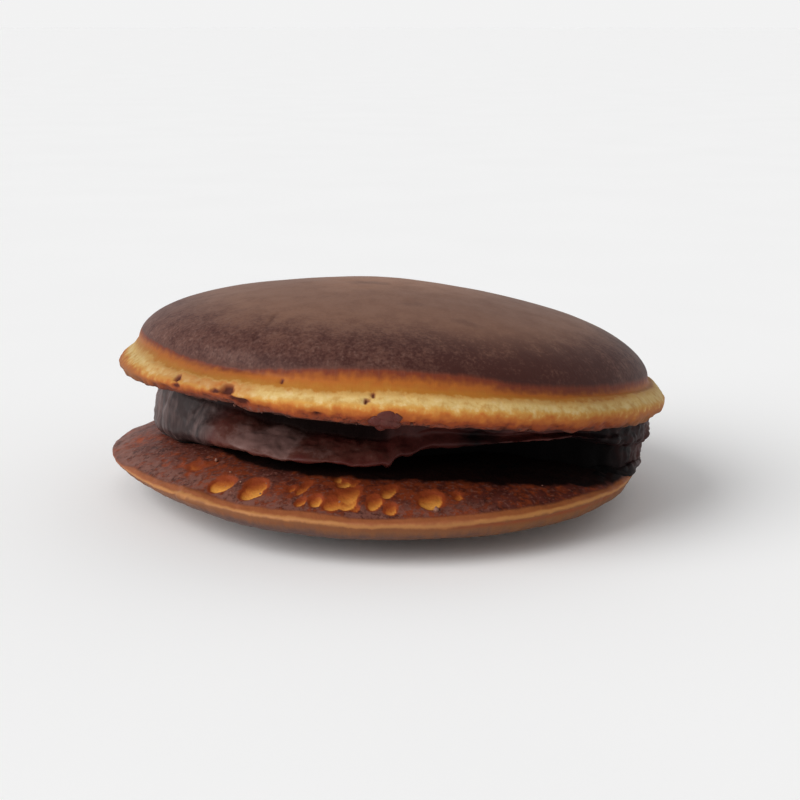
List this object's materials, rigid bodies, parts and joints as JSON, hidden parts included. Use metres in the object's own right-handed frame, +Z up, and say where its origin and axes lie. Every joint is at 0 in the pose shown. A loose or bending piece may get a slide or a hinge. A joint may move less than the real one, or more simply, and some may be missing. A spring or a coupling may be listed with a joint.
{
  "type": "dorayaki",
  "caption": "Round griddled pancake sandwich: domed browned pancake with a protruding pale rim over a thin lower pancake, with dark bean paste showing in the uneven gap.",
  "frame": {"origin": "centre of the flat spot that the lower pancake rests on", "axes": "+Z up, -Y toward the open front where the filling shows, +X to the right seen from the front"},
  "size_m": [0.0994, 0.0963, 0.039],
  "materials": {
    "upper_crust": "soft baked cake, dark brown griddled cap over a pale yellow rim, faint dry sheen",
    "bean_paste": "moist smooth dark paste",
    "lower_crust": "soft baked cake, dark mottled face with golden bubble pits, tan rim"
  },
  "bodies": {
    "root": {"upper_pancake": "upper_crust", "filling": "bean_paste", "lower_pancake": "lower_crust"}
  },
  "joints": []
}
